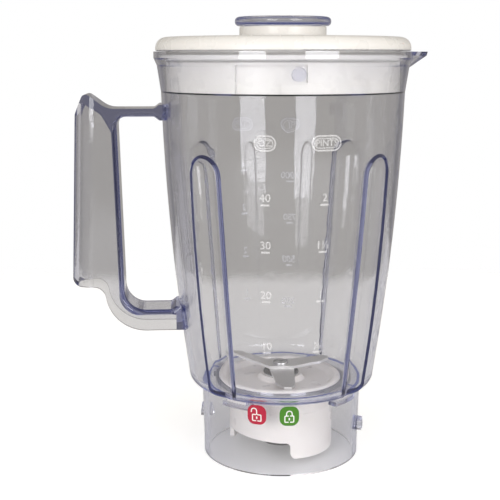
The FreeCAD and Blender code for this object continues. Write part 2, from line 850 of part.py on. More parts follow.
def make_lid():
    """The lid: dished plate with a neck, and a skirt with a seal groove and two pin tracks."""
    body = new_body("lid")
    under = d.lid_top - d.lid_plate
    turned(body, "lid_turn", [
        at(d.neck_bore, under),
        at(d.lid_skirt_inside, under, rounding=d.lid_inside_rounding),
        at(d.lid_skirt_inside, d.lid_skirt_foot),
        at(d.lid_skirt_radius, d.lid_skirt_foot, rounding=d.lid_skirt_rounding),
        at(d.lid_skirt_radius, d.seal_low),
        at(d.seal_seat_radius, d.seal_low),
        at(d.seal_seat_radius, d.seal_high),
        at(d.lid_skirt_radius, d.seal_high),
        at(d.lid_skirt_radius, d.lid_rim_underside),
        at(d.lid_radius, d.lid_rim_underside, rounding=d.lid_edge_rounding),
        at(d.lid_radius, d.lid_top, rounding=d.lid_rounding),
        at(d.neck_radius, d.lid_top, rounding=d.neck_root_rounding),
        at(d.neck_radius, d.neck_top, rounding=d.neck_edge_rounding),
        at(d.neck_bore, d.neck_top, rounding=d.neck_edge_rounding),
    ])
    outside = d.lid_skirt_radius + d.overcut
    entry = box_corners(d.track_floor, outside, d.lid_skirt_foot - d.overcut, d.track_top)
    lock = box_corners(d.track_floor, outside, d.track_ledge, d.track_top)
    entry_span = d.track_entry_end - d.track_entry_start
    entry_centre = d.track_entry_start + entry_span / 2 + FRONT
    lock_span = d.track_end - d.track_entry_end + d.overcut
    lock_centre = d.track_end - lock_span / 2 + FRONT
    for name, corners, span, centre in (("entry", entry, entry_span, entry_centre),
                                        ("lock", lock, lock_span, lock_centre)):
        cut = turned(body, f"track_{name}", corners, span=span, centre=centre, kind="Groove")
        around(body, cut, 2, f"track_{name}_pair")
    rib = box_corners(d.lid_skirt_inside + d.detent_height, d.track_floor + d.detent_height,
                      d.track_ledge, d.track_top)
    detent = turned(body, "detent", rib, span=d.detent_span, centre=d.detent_angle + FRONT)
    around(body, detent, 2, "detents")
    return body


def make_lid_seal():
    """A silicone ring in the skirt's groove, with a lip that wipes the jar's throat."""
    body = new_body("lid_seal")
    middle = (d.seal_low + d.seal_high) / 2
    lip = d.seal_lip_thickness / 2
    turned(body, "lid_seal_turn", [
        at(d.seal_seat_radius, d.seal_low),
        at(d.lid_skirt_radius + d.seal_collar, d.seal_low + d.seal_slope),
        at(d.seal_lip_radius, middle - lip, rounding=d.seal_lip_rounding),
        at(d.seal_lip_radius, middle + lip, rounding=d.seal_lip_rounding),
        at(d.lid_skirt_radius + d.seal_collar, d.seal_high - d.seal_slope),
        at(d.seal_seat_radius, d.seal_high),
    ])
    return body


def make_measuring_cap():
    """The clear cap: a flange over the neck and a hollow plug, open below, that measures a dose."""
    body = new_body("measuring_cap")
    wall, dish = d.cap_wall, d.cap_top - d.cap_dish
    turned(body, "cap_turn", [
        at(0, dish - wall),
        at(d.cap_plug_radius - wall, dish - wall, rounding=d.cap_inside_rounding),
        at(d.cap_plug_foot_radius - wall, d.cap_plug_foot),
        at(d.cap_plug_foot_radius, d.cap_plug_foot, rounding=d.cap_plug_rounding),
        at(d.cap_plug_radius, d.cap_underside, rounding=d.cap_plug_rounding),
        at(d.cap_radius, d.cap_underside, rounding=d.cap_rounding),
        at(d.cap_radius, d.cap_top, rounding=d.cap_rounding),
        at(d.cap_plug_radius, d.cap_top, rounding=d.cap_dish_rounding),
        at(d.cap_plug_radius - d.cap_dish, dish, rounding=d.cap_dish_rounding),
        at(0, dish),
    ])
    return body


# ---------------------------------------------------------------- blade holder and its bearing

def make_blade_holder():
    """The twist-out holder: dished disc, flange with four lugs, skirt with two grip tabs, and a
    boss with ribs round the bearing hub."""
    body = new_body("blade_holder")
    inside = d.skirt_radius - d.skirt_wall
    under = d.dish_floor - d.plate_thickness
    turned(body, "holder_turn", [
        at(d.hub_radius, d.boss_foot),
        at(d.boss_radius, d.boss_foot),
        at(d.boss_radius, under, rounding=d.boss_rounding),
        at(inside, under, rounding=d.boss_rounding),
        at(inside, d.skirt_foot),
        at(d.skirt_radius, d.skirt_foot),
        at(d.skirt_radius, d.skirt_step - d.skirt_step_height),
        at(d.skirt_upper_radius, d.skirt_step),
        at(d.skirt_upper_radius, d.flange_low, rounding=d.disc_rim_rounding),
        at(d.flange_radius, d.flange_low),
        at(d.flange_radius, d.flange_high),
        at(d.disc_radius, d.flange_high),
        at(d.disc_radius, d.disc_top, rounding=d.disc_edge_rounding),
        at(d.disc_radius - d.disc_rim_width, d.disc_top, rounding=d.disc_rim_rounding),
        at(d.dish_floor_radius, d.dish_floor, rounding=d.dish_rounding),
        at(d.boss_radius + d.boss_collar, d.dish_floor, rounding=d.boss_collar),
        at(d.boss_radius - d.boss_draft, d.hub_seat),
        at(d.hub_radius, d.hub_seat),
    ])
    lug = turned(body, "holder_lug",
                 box_corners(d.flange_radius - d.lug_overlap, d.lug_radius, d.lug_low, d.lug_high),
                 span=d.lug_span, centre=d.claw_angle)
    around(body, lug, 4, "holder_lugs")
    rib = turned(body, "holder_rib",
                 box_corners(d.boss_radius - d.join_depth, inside + d.join_depth,
                             d.rib_foot, under + d.join_depth),
                 span=d.rib_span, centre=0.0)
    around(body, rib, 6, "holder_ribs")
    slope = sketch_on(body, "skirt_slope_outline", "XZ_Plane")
    beyond = d.skirt_radius + d.overcut
    draw(slope, [
        at(-beyond, d.tab_foot),
        at(-d.skirt_level, d.tab_foot),
        at(-d.skirt_level, d.skirt_foot),
        at(-beyond, d.skirt_foot + d.skirt_rise),
    ])
    cut = add_feature(body, "Pocket", "skirt_slope", slope, Length=beyond, Reversed=True)
    around(body, cut, 2, "skirt_slopes")
    tab = turned(body, "grip_tab", box_corners(inside, d.skirt_radius, d.tab_foot, d.skirt_foot),
                 span=d.tab_span, centre=d.tab_start + d.tab_span / 2 + FRONT)
    around(body, tab, 2, "grip_tabs")

    def across_skirt(edge, height):
        level = all(abs(v.Z - height.value) < 0.01 for v in edge.Vertexes)
        return level and edge.Length < d.skirt_wall.value + 0.1

    def tab_corner(edge):
        return across_skirt(edge, d.tab_foot)

    def tab_root(edge):
        middle = edge.CenterOfMass
        turn = (math.degrees(math.atan2(middle.y, middle.x)) - FRONT) % 180
        off = turn - d.tab_start.value
        beside_tab = min(abs(off), abs(off - d.tab_span.value)) < 0.5
        return beside_tab and across_skirt(edge, d.skirt_foot)

    fillet_edges(body, "grip_tab_corners", d.tab_rounding, tab_corner)
    fillet_edges(body, "grip_tab_roots", d.tab_root_rounding, tab_root)
    return body


def make_bearing_hub():
    """The dark hub that carries the bushes and the shaft seal, with a flange on the disc."""
    body = new_body("bearing_hub")
    turned(body, "hub_turn", [
        at(d.bush_radius, d.hub_foot),
        at(d.hub_radius, d.hub_foot, rounding=d.hub_foot_rounding),
        at(d.hub_radius, d.hub_flange_low),
        at(d.hub_flange_radius, d.hub_flange_low),
        at(d.hub_flange_radius, d.hub_top, rounding=d.hub_flange_rounding),
        at(d.seal_radius, d.hub_top),
        at(d.seal_radius, d.seal_foot),
        at(d.bush_radius, d.seal_foot),
    ])
    return body


def make_bearing_pieces():
    """Bushes, shaft seal, gaskets and the ring that holds the hub in the holder."""
    bore = d.shaft_radius + d.running_gap
    ring("upper_bush", bore, d.bush_radius, d.seal_foot - d.bush_length, d.seal_foot)
    ring("lower_bush", bore, d.bush_radius, d.hub_foot, d.hub_foot + d.bush_length)
    relief = d.seal_top - d.seal_lip_length
    seal = new_body("shaft_seal")
    turned(seal, "shaft_seal_turn", [
        at(bore + d.seal_relief, d.seal_foot),
        at(d.seal_radius, d.seal_foot),
        at(d.seal_radius, d.seal_top),
        at(bore, d.seal_top - d.seal_lip_draft, rounding=d.seal_lip_edge),
        at(bore, relief),
        at(bore + d.seal_relief, relief - d.seal_relief_slope),
    ])
    ring("hub_gasket", d.hub_radius, d.hub_flange_radius - d.hub_gasket_inset,
         d.hub_seat, d.hub_flange_low)
    ring("hub_lock_ring", d.hub_radius, d.lock_ring_radius,
         d.boss_foot - d.lock_ring_thickness, d.boss_foot)
    ring("holder_gasket", d.disc_radius, d.gasket_radius, d.flange_high, d.gasket_top)


# ---------------------------------------------------------------- blade shaft, blades, coupling

def spigot_corners():
    """The shaft's upper end, round with two flats that turn the blades."""
    side = other_leg(d.spigot_radius, d.spigot_flat)
    radius = d.spigot_radius
    return [
        at(-side, -d.spigot_flat),
        at(side, -d.spigot_flat, bulge=radius),
        at(side, d.spigot_flat),
        at(-side, d.spigot_flat, bulge=radius),
    ]


def make_shaft():
    """The shaft: journal, clip groove, flatted spigot and the riveted head that holds the blades."""
    body = new_body("blade_shaft")
    clip_high = d.clip_low + d.clip_thickness
    turned(body, "shaft_turn", [
        at(0, d.shaft_foot),
        at(d.shaft_radius, d.shaft_foot),
        at(d.shaft_radius, d.clip_low),
        at(d.clip_groove_radius, d.clip_low),
        at(d.clip_groove_radius, clip_high),
        at(d.shaft_radius, clip_high),
        at(d.shaft_radius, d.shaft_shoulder),
        at(0, d.shaft_shoulder),
    ])
    head_low = d.shaft_shoulder + d.blade_thickness * 2
    spigot = draw(sketch_on(body, "spigot_outline", "XY_Plane", away=d.shaft_shoulder), spigot_corners())
    add_feature(body, "Pad", "spigot", spigot, Length=d.blade_thickness * 2)
    head_high = head_low + d.rivet_height
    turned(body, "rivet_head", [
        at(0, head_low),
        at(d.rivet_radius, head_low),
        at(d.rivet_radius, head_high, rounding=d.rivet_rounding),
        at(0, head_high),
    ])
    slot = sketch_on(body, "rivet_slot_outline", "XY_Plane", away=head_high)
    half_width, half_length = d.rivet_slot_width / 2, d.rivet_radius + d.overcut
    draw(slot, [at(-half_length, -half_width), at(half_length, -half_width),
                at(half_length, half_width), at(-half_length, half_width)])
    add_feature(body, "Pocket", "rivet_slot", slot, Length=d.rivet_slot_depth)
    return body


def wing_run(tilt):
    """How far a wing reaches out and up at its tilt, for its middle line."""
    return d.blade_wing * cosine(tilt), d.blade_wing * sine(tilt)


def make_blade(name, low, left_tilt, right_tilt, heading):
    """A stamped blade: a flat middle with a flatted hole, two wings bent up (or down, where the tilt
    is negative) and a plan that narrows to a sharp outer corner. It is drawn along X, then turned."""
    thick, flat = d.blade_thickness, d.blade_flat_half
    strip = new_body(f"{name}_strip")
    left_out, left_up = wing_run(left_tilt)
    right_out, right_up = wing_run(right_tilt)
    left_top = (-flat - left_out - sine(left_tilt) * thick, low + left_up + cosine(left_tilt) * thick)
    right_top = (flat + right_out - sine(right_tilt) * thick, low + right_up + cosine(right_tilt) * thick)
    side = draw(sketch_on(strip, f"{name}_side", "XZ_Plane"), [
        at(-flat - left_out, low + left_up),
        at(-flat, low, rounding=d.blade_bend),
        at(flat, low, rounding=d.blade_bend),
        at(flat + right_out, low + right_up),
        at(*right_top),
        at(flat, low + thick, rounding=d.blade_bend),
        at(-flat, low + thick, rounding=d.blade_bend),
        at(*left_top),
    ])
    add_feature(strip, "Pad", f"{name}_pad", side, Length=d.blade_half_width * 2, Midplane=True)

    plan = new_body(f"{name}_plan")
    half, reach = d.blade_half_width, d.blade_flat_half + d.blade_wing
    tip = reach + d.blade_tip_reach
    (front_out, front_half), (back_out, back_half) = BLADE_FRONT, BLADE_BACK
    outline = [
        at(flat, -half),
        at(reach * front_out, -half * front_half),
        at(tip, half * BLADE_POINT),
        at(reach * back_out, half * back_half),
        at(flat, half),
        at(-flat, half),
        at(-reach * front_out, half * front_half),
        at(-tip, -half * BLADE_POINT),
        at(-reach * back_out, -half * back_half),
        at(-flat, -half),
    ]
    sheet_foot = low - CORE_CLEARANCE / 2
    sketch = draw(sketch_on(plan, f"{name}_plan_outline", "XY_Plane", away=sheet_foot), outline)
    add_feature(plan, "Pad", f"{name}_plan_pad", sketch, Length=as_size(CORE_CLEARANCE))
    hole = draw(sketch_on(plan, f"{name}_hole_outline", "XY_Plane", turn=-heading, away=sheet_foot),
                spigot_corners())
    add_feature(plan, "Pocket", f"{name}_hole", hole, Length=as_size(CORE_CLEARANCE), Reversed=True)
    blade = combine("Common", name, strip, plan)
    blade.Placement = Placement(Vector(), Rotation(Vector(0, 0, 1), heading))
    return blade


def make_blades():
    """Two crossed blades: the upper one points up, the lower one down towards the dish."""
    make_blade("lower_blade", d.shaft_shoulder, d.lower_blade_tilt, d.lower_blade_tilt, 90)
    make_blade("upper_blade", d.shaft_shoulder + d.blade_thickness,
               d.upper_blade_left_tilt, d.upper_blade_right_tilt, 0)


def make_shaft_rings():
    """Washers above and below the bearing, and the clip that keeps the shaft in it."""
    ring("top_washer", d.shaft_radius, d.washer_radius,
         d.shaft_shoulder - d.washer_thickness, d.shaft_shoulder)
    clip_high = d.clip_low + d.clip_thickness
    ring("bottom_washer", d.shaft_radius, d.washer_radius, clip_high, clip_high + d.washer_thickness)
    ring("shaft_clip", d.clip_groove_radius, d.clip_radius, d.clip_low, clip_high)


def make_coupling():
    """The drive coupling: a cup open below with six teeth inside, on a brass insert."""
    body = new_body("drive_coupling")
    turned(body, "coupling_turn", [
        at(d.coupling_socket_radius, d.coupling_foot),
        at(d.coupling_radius, d.coupling_foot, rounding=d.coupling_foot_rounding),
        at(d.coupling_radius, d.coupling_shoulder, rounding=d.coupling_shoulder_rounding),
        at(d.coupling_neck_radius, d.coupling_top, rounding=d.coupling_neck_rounding),
        at(d.insert_radius, d.coupling_top),
        at(d.insert_radius, d.coupling_socket_top),
        at(d.coupling_socket_radius, d.coupling_socket_top),
    ])
    inset = d.coupling_tooth_inset
    tooth = turned(body, "coupling_tooth",
                   box_corners(d.coupling_tooth_reach, d.coupling_socket_radius + inset,
                               d.coupling_foot + inset, d.coupling_socket_top + inset),
                   span=d.coupling_tooth_span, centre=0.0)
    around(body, tooth, 6, "coupling_teeth")

    insert = new_body("coupling_insert")
    turned(insert, "insert_turn", [
        at(0, d.coupling_socket_top),
        at(d.insert_radius, d.coupling_socket_top),
        at(d.insert_radius, d.coupling_top),
        at(d.shaft_radius, d.coupling_top),
        at(d.shaft_radius, d.shaft_foot),
        at(0, d.shaft_foot),
    ])


NODES = [
    "jar", "handle", "base_collar",
    "lid", "lid_seal", "measuring_cap",
    "blade_holder", "holder_gasket", "bearing_hub", "hub_gasket", "hub_lock_ring",
    "upper_bush", "lower_bush", "shaft_seal",
    "blade_shaft", "top_washer", "bottom_washer", "shaft_clip", "lower_blade", "upper_blade",
    "drive_coupling", "coupling_insert",
]


def check_document():
    """Stops where any object failed or a node isn't one valid solid or group of solids."""
    for thing in doc.Objects:
        if "Invalid" in thing.State or "Error" in thing.State:
            raise RuntimeError(f"{thing.Label} failed: {thing.State}")
    for name in NODES:
        shape = doc.getObject(name).Shape
        if shape.isNull() or not shape.isValid() or not shape.Solids:
            raise RuntimeError(f"{name} has no valid solid")


def write_parts():
    os.makedirs("parts", exist_ok=True)
    for name in NODES:
        shape = doc.getObject(name).Shape
        box = shape.BoundBox
        print(f"{name}: {len(shape.Solids)} solid, {shape.Volume:.0f} mm3, "
              f"x {box.XMin:.1f}..{box.XMax:.1f} y {box.YMin:.1f}..{box.YMax:.1f} "
              f"z {box.ZMin:.1f}..{box.ZMax:.1f}")
        shape.exportStep(f"parts/{name}.step")


def main():
    make_sheet()
    jar_outside = make_jar()
    make_handle(jar_outside)
    make_collar()
    make_lid()
    make_lid_seal()
    make_measuring_cap()
    make_blade_holder()
    make_bearing_hub()
    make_bearing_pieces()
    make_shaft()
    make_shaft_rings()
    make_blades()
    make_coupling()
    doc.recompute()
    check_document()
    write_parts()


main()
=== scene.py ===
import math

import bmesh
import bpy
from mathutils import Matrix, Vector


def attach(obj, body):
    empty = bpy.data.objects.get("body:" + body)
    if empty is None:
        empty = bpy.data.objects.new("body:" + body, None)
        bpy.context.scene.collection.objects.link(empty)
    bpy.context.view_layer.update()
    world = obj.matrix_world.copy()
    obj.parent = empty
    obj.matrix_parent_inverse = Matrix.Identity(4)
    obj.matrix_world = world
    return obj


# A clear blender jar on a pale table in a soft studio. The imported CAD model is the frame; this
# script adds its materials, the moulded volume marks, the printed lock signs, lights and camera.
# Metres; +Z up, -Y is the jar's front, -X its handle.

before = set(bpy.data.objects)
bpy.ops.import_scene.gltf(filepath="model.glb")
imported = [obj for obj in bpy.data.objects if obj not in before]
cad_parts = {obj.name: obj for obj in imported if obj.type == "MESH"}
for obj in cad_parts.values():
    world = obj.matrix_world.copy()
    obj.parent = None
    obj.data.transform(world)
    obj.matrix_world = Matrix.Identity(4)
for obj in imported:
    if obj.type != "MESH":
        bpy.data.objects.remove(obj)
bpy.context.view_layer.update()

MM = 0.001
PLASTIC_IOR = 1.57
# how the lines of turned metal are stretched
TURNED = (1, 1, 0.2)


# ---------------------------------------------------------------- camera, lights and stage

CAMERA_DISTANCE = 0.569
CAMERA_HEIGHT = 0.2303
CAMERA_SIDE = -0.0183
CAMERA_HEADING = math.radians(-4.16)
CAMERA_PITCH = math.radians(11.0)
CAMERA_LENS = 72.0

# the studio round the jar, as the plastic shows it: angles from straight behind it, and brightness
STUDIO = ((0, 0.41), (24, 0.41), (36, 0.28), (56, 0.48), (82, 0.76), (110, 0.80), (180, 0.85))
STUDIO_TINT = (1.0, 0.955, 0.885)

# the table's far and near edges and its half width, how far it fades out before its far edge, the
# light it gives off for every ray, and what it adds for the camera so that it meets the white
TABLE_FAR, TABLE_NEAR, TABLE_SIDE = 0.51, -3.0, 3.0
TABLE_FADE = 0.09
TABLE_LIFT = 0.16
TABLE_GLOW = 0.35
TABLE_DROP = 0.0002

# name, angle to the right of the camera, width, low edge, high edge, radiance; a dimmer strip under
# each softbox softens the low end of its reflection
SOFTBOX_DISTANCE = 1.0
SOFTBOXES = (
    ("left_softbox", -27.0, 0.40, 0.155, 0.55, 5.2),
    ("left_softbox_foot", -27.0, 0.30, 0.125, 0.155, 2.0),
    ("right_softbox", 31.0, 0.50, 0.165, 0.55, 5.2),
    ("right_softbox_foot", 31.0, 0.40, 0.13, 0.165, 2.0),
)


def from_camera(angle, distance, height):
    """A place seen from the jar at this angle to the right of the camera, in degrees."""
    heading = CAMERA_HEADING + math.radians(angle)
    return Vector((math.sin(heading) * distance, -math.cos(heading) * distance, height))


def make_camera():
    data = bpy.data.cameras.new("camera")
    data.lens = CAMERA_LENS
    data.clip_start = 0.01
    camera = bpy.data.objects.new("camera", data)
    bpy.context.collection.objects.link(camera)
    side = Vector((math.cos(CAMERA_HEADING), math.sin(CAMERA_HEADING), 0.0))
    camera.location = from_camera(0, CAMERA_DISTANCE, CAMERA_HEIGHT) + side * CAMERA_SIDE
    camera.rotation_euler = (math.pi / 2 - CAMERA_PITCH, 0, CAMERA_HEADING)
    bpy.context.scene.camera = camera


def make_softbox(name, angle, width, low, high, radiance):
    """An upright rectangular light that faces the jar, from one height to another."""
    data = bpy.data.lights.new(name, "AREA")
    data.shape = "RECTANGLE"
    data.size, data.size_y = width, high - low
    data.energy = radiance * math.pi * width * (high - low)
    light = bpy.data.objects.new(name, data)
    bpy.context.collection.objects.link(light)
    light.location = from_camera(angle, SOFTBOX_DISTANCE, (low + high) / 2)
    aim = Vector((0, 0, light.location.z)) - light.location
    light.rotation_euler = aim.to_track_quat("-Z", "Y").to_euler()


def make_world():
    """White to the camera. Through the plastic, in reflections and as light there is a warm grey
    backdrop behind the jar, a darker band beside it, and a bright studio further round."""
    world = bpy.data.worlds.new("studio")
    bpy.context.scene.world = world
    world.use_nodes = True
    nodes, links = world.node_tree.nodes, world.node_tree.links
    nodes.clear()
    out = nodes.new("ShaderNodeOutputWorld")
    white = nodes.new("ShaderNodeBackground")
    white.inputs["Color"].default_value = (1.0, 1.0, 1.0, 1)
    direction = nodes.new("ShaderNodeTexCoord")
    behind = nodes.new("ShaderNodeVectorMath")
    behind.operation = "DOT_PRODUCT"
    behind.inputs[1].default_value = -from_camera(0, 1, 0)
    turn = nodes.new("ShaderNodeMath")
    turn.operation = "ARCCOSINE"
    part = nodes.new("ShaderNodeMath")
    part.operation = "DIVIDE"
    part.inputs[1].default_value = math.pi
    walls = nodes.new("ShaderNodeValToRGB")
    walls.color_ramp.interpolation = "EASE"
    while len(walls.color_ramp.elements) < len(STUDIO):
        walls.color_ramp.elements.new(0.5)
    for stop, (angle, brightness) in zip(walls.color_ramp.elements, STUDIO):
        stop.position = angle / 180
        stop.color = (*(brightness * c for c in STUDIO_TINT), 1)
    seen = nodes.new("ShaderNodeBackground")
    eye = nodes.new("ShaderNodeLightPath")
    mix = nodes.new("ShaderNodeMixShader")
    links.new(direction.outputs["Generated"], behind.inputs[0])
    links.new(behind.outputs["Value"], turn.inputs[0])
    links.new(turn.outputs[0], part.inputs[0])
    links.new(part.outputs[0], walls.inputs["Fac"])
    links.new(walls.outputs["Color"], seen.inputs["Color"])
    links.new(eye.outputs["Is Camera Ray"], mix.inputs["Fac"])
    links.new(seen.outputs[0], mix.inputs[1])
    links.new(white.outputs[0], mix.inputs[2])
    links.new(mix.outputs[0], out.inputs["Surface"])


def make_table():
    """A pale table top that fades out behind the jar."""
    mesh = bpy.data.meshes.new("table")
    corners = [(-TABLE_SIDE, TABLE_NEAR, 0), (TABLE_SIDE, TABLE_NEAR, 0),
               (TABLE_SIDE, TABLE_FAR, 0), (-TABLE_SIDE, TABLE_FAR, 0)]
    mesh.from_pydata(corners, [], [(0, 1, 2, 3)])
    table = bpy.data.objects.new("table", mesh)
    bpy.context.collection.objects.link(table)
    table.rotation_euler.z = CAMERA_HEADING
    table.location.z = -TABLE_DROP
    material = bpy.data.materials.new("table_top")
    material.use_nodes = True
    nodes, links = material.node_tree.nodes, material.node_tree.links
    shader = nodes["Principled BSDF"]
    shader.inputs["Base Color"].default_value = (0.80, 0.80, 0.80, 1)
    shader.inputs["Roughness"].default_value = 0.6
    shader.inputs["Emission Color"].default_value = (1, 1, 1, 1)
    shader.inputs["Emission Strength"].default_value = TABLE_LIFT
    glow = nodes.new("ShaderNodeEmission")
    eye = nodes.new("ShaderNodeLightPath")
    mix = nodes.new("ShaderNodeAddShader")
    links.new(eye.outputs["Is Camera Ray"], glow.inputs["Strength"])
    glow.inputs["Color"].default_value = (TABLE_GLOW, TABLE_GLOW, TABLE_GLOW, 1)
    links.new(shader.outputs[0], mix.inputs[0])
    links.new(glow.outputs[0], mix.inputs[1])
    place = nodes.new("ShaderNodeTexCoord")
    along = nodes.new("ShaderNodeSeparateXYZ")
    fade = nodes.new("ShaderNodeMapRange")
    fade.interpolation_type = "SMOOTHSTEP"
    fade.inputs["From Min"].default_value = TABLE_FAR - TABLE_FADE
    fade.inputs["From Max"].default_value = TABLE_FAR
    open_air = nodes.new("ShaderNodeBsdfTransparent")
    edge = nodes.new("ShaderNodeMixShader")
    links.new(place.outputs["Object"], along.inputs[0])
    links.new(along.outputs["Y"], fade.inputs["Value"])
    links.new(fade.outputs["Result"], edge.inputs["Fac"])
    links.new(mix.outputs[0], edge.inputs[1])
    links.new(open_air.outputs[0], edge.inputs[2])
    links.new(edge.outputs[0], nodes["Material Output"].inputs["Surface"])
    mesh.materials.append(material)


# ---------------------------------------------------------------- materials

def new_material(name):
    material = bpy.data.materials.new(name)
    material.use_nodes = True
    return material, material.node_tree, material.node_tree.nodes["Principled BSDF"]


def noise(tree, scale, detail=2.0, stretch=(1, 1, 1)):
    """Noise in the object's own coordinates, stretched along its axes."""
    place = tree.nodes.new("ShaderNodeTexCoord")
    mapping = tree.nodes.new("ShaderNodeMapping")
    mapping.inputs["Scale"].default_value = stretch
    texture = tree.nodes.new("ShaderNodeTexNoise")
    texture.inputs["Scale"].default_value = scale
    texture.inputs["Detail"].default_value = detail
    tree.links.new(place.outputs["Object"], mapping.inputs["Vector"])
    tree.links.new(mapping.outputs["Vector"], texture.inputs["Vector"])
    return texture.outputs["Fac"]


def between(tree, factor, low, high):
    ramp = tree.nodes.new("ShaderNodeMapRange")
    ramp.inputs["From Min"].default_value = 0.3
    ramp.inputs["From Max"].default_value = 0.7
    ramp.inputs["To Min"].default_value = low
    ramp.inputs["To Max"].default_value = high
    tree.links.new(factor, ramp.inputs["Value"])
    return ramp.outputs["Result"]


def bump(tree, shader, height, strength, distance):
    node = tree.nodes.new("ShaderNodeBump")
    node.inputs["Strength"].default_value = strength
    node.inputs["Distance"].default_value = distance
    tree.links.new(height, node.inputs["Height"])
    tree.links.new(node.outputs["Normal"], shader.inputs["Normal"])
    return node


def blend_colours(tree, factor, first, second):
    mix = tree.nodes.new("ShaderNodeMix")
    mix.data_type = "RGBA"
    mix.inputs["A"].default_value = (*first, 1)
    mix.inputs["B"].default_value = (*second, 1)
    tree.links.new(factor, mix.inputs["Factor"])
    return mix.outputs["Result"]


# how much of a lamp's light gets through each face of the plastic
LAMP_SHARE = 0.99
# a ray that has turned this often inside a thick edge is given a faint painted navy glow, light
# that the plastic gives off, because the renderer stops following it soon after and would show
# black
DEEP_RAY = 8.5
DEEP_MIRRORED = 2.5
DEEP_GLOW_COLOUR = (0.020, 0.026, 0.078)


def let_lamps_through(tree, shader, tint):
    """Glass that lamps shine through, so that what stands inside the jar is lit, and whose thick
    edges give off a painted navy glow where rays are lost."""
    eye = tree.nodes.new("ShaderNodeLightPath")
    open_way = tree.nodes.new("ShaderNodeBsdfTransparent")
    open_way.inputs["Color"].default_value = (*(c * LAMP_SHARE for c in tint), 1)
    mix = tree.nodes.new("ShaderNodeMixShader")
    caught = tree.nodes.new("ShaderNodeMath")
    caught.operation = "MAXIMUM"
    counts = (("Ray Depth", DEEP_RAY), ("Glossy Depth", DEEP_MIRRORED))
    for place, (count, limit) in enumerate(counts):
        deep = tree.nodes.new("ShaderNodeMath")
        deep.operation = "GREATER_THAN"
        deep.inputs[1].default_value = limit
        tree.links.new(eye.outputs[count], deep.inputs[0])
        tree.links.new(deep.outputs[0], caught.inputs[place])
    # painted light: the plastic glows faint navy on rays lost deep in a thick edge
    shader.inputs["Emission Color"].default_value = (*DEEP_GLOW_COLOUR, 1)
    tree.links.new(caught.outputs[0], shader.inputs["Emission Strength"])
    tree.links.new(eye.outputs["Is Shadow Ray"], mix.inputs["Fac"])
    tree.links.new(shader.outputs[0], mix.inputs[1])
    tree.links.new(open_way.outputs[0], mix.inputs[2])
    tree.links.new(mix.outputs[0], tree.nodes["Material Output"].inputs["Surface"])


def clear_plastic(name, roughness, waviness, density, tint=(1.0, 0.995, 0.966),
                  colour=(0.12, 0.16, 0.48)):
    """Clear moulded plastic whose edges go navy: it swallows red and green over a long path, while
    a thin wall stays neutral, and deep in thick edges a painted navy glow is added."""
    material, tree, shader = new_material(name)
    shader.inputs["Base Color"].default_value = (*tint, 1)
    shader.inputs["Transmission Weight"].default_value = 1.0
    shader.inputs["IOR"].default_value = PLASTIC_IOR
    flow = noise(tree, 40.0, 2.0, (1, 1, 0.15))
    tree.links.new(between(tree, flow, roughness * 0.6, roughness * 1.5),
                   shader.inputs["Roughness"])
    bump(tree, shader, flow, waviness, 0.4 * MM)
    let_lamps_through(tree, shader, tint)
    volume = tree.nodes.new("ShaderNodeVolumeAbsorption")
    volume.inputs["Color"].default_value = (*colour, 1)
    volume.inputs["Density"].default_value = density
    tree.links.new(volume.outputs["Volume"], tree.nodes["Material Output"].inputs["Volume"])
    return material


def moulded(name, colour, shade, roughness, grain, grain_size, sheen=0.0, softness=0.0):
    """Opaque moulded plastic or rubber: slight colour and gloss variation and a fine grain."""
    material, tree, shader = new_material(name)
    patches = noise(tree, 35.0, 3.0)
    tree.links.new(blend_colours(tree, patches, colour, shade), shader.inputs["Base Color"])
    tree.links.new(between(tree, noise(tree, 90.0, 3.0), roughness * 0.85, roughness * 1.2),
                   shader.inputs["Roughness"])
    bump(tree, shader, noise(tree, grain_size, 2.0), grain, 0.1 * MM)
    shader.inputs["Sheen Weight"].default_value = sheen
    if softness:
        shader.inputs["Subsurface Weight"].default_value = softness
        shader.inputs["Subsurface Scale"].default_value = 2.0 * MM
        shader.inputs["Subsurface Radius"].default_value = (1.0, 0.9, 0.8)
    return material


def brushed(name, colour, roughness, stretch):
    """Rolled or turned metal with fine lines along one direction."""
    material, tree, shader = new_material(name)
    lines = noise(tree, 1500.0, 2.0, stretch)
    dark = tuple(c * 0.92 for c in colour)
    tree.links.new(blend_colours(tree, lines, dark, colour), shader.inputs["Base Color"])
    tree.links.new(between(tree, lines, roughness * 0.9, roughness * 1.1),
                   shader.inputs["Roughness"])
    shader.inputs["Metallic"].default_value = 1.0
    bump(tree, shader, lines, 0.01, 0.01 * MM)
    return material


def dress(names, material):
    """Gives CAD nodes a material in every one of their slots."""
    for name in names:
        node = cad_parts[name]
        if not node.material_slots:
            node.data.materials.append(material)
        for slot in node.material_slots:
            slot.material = material


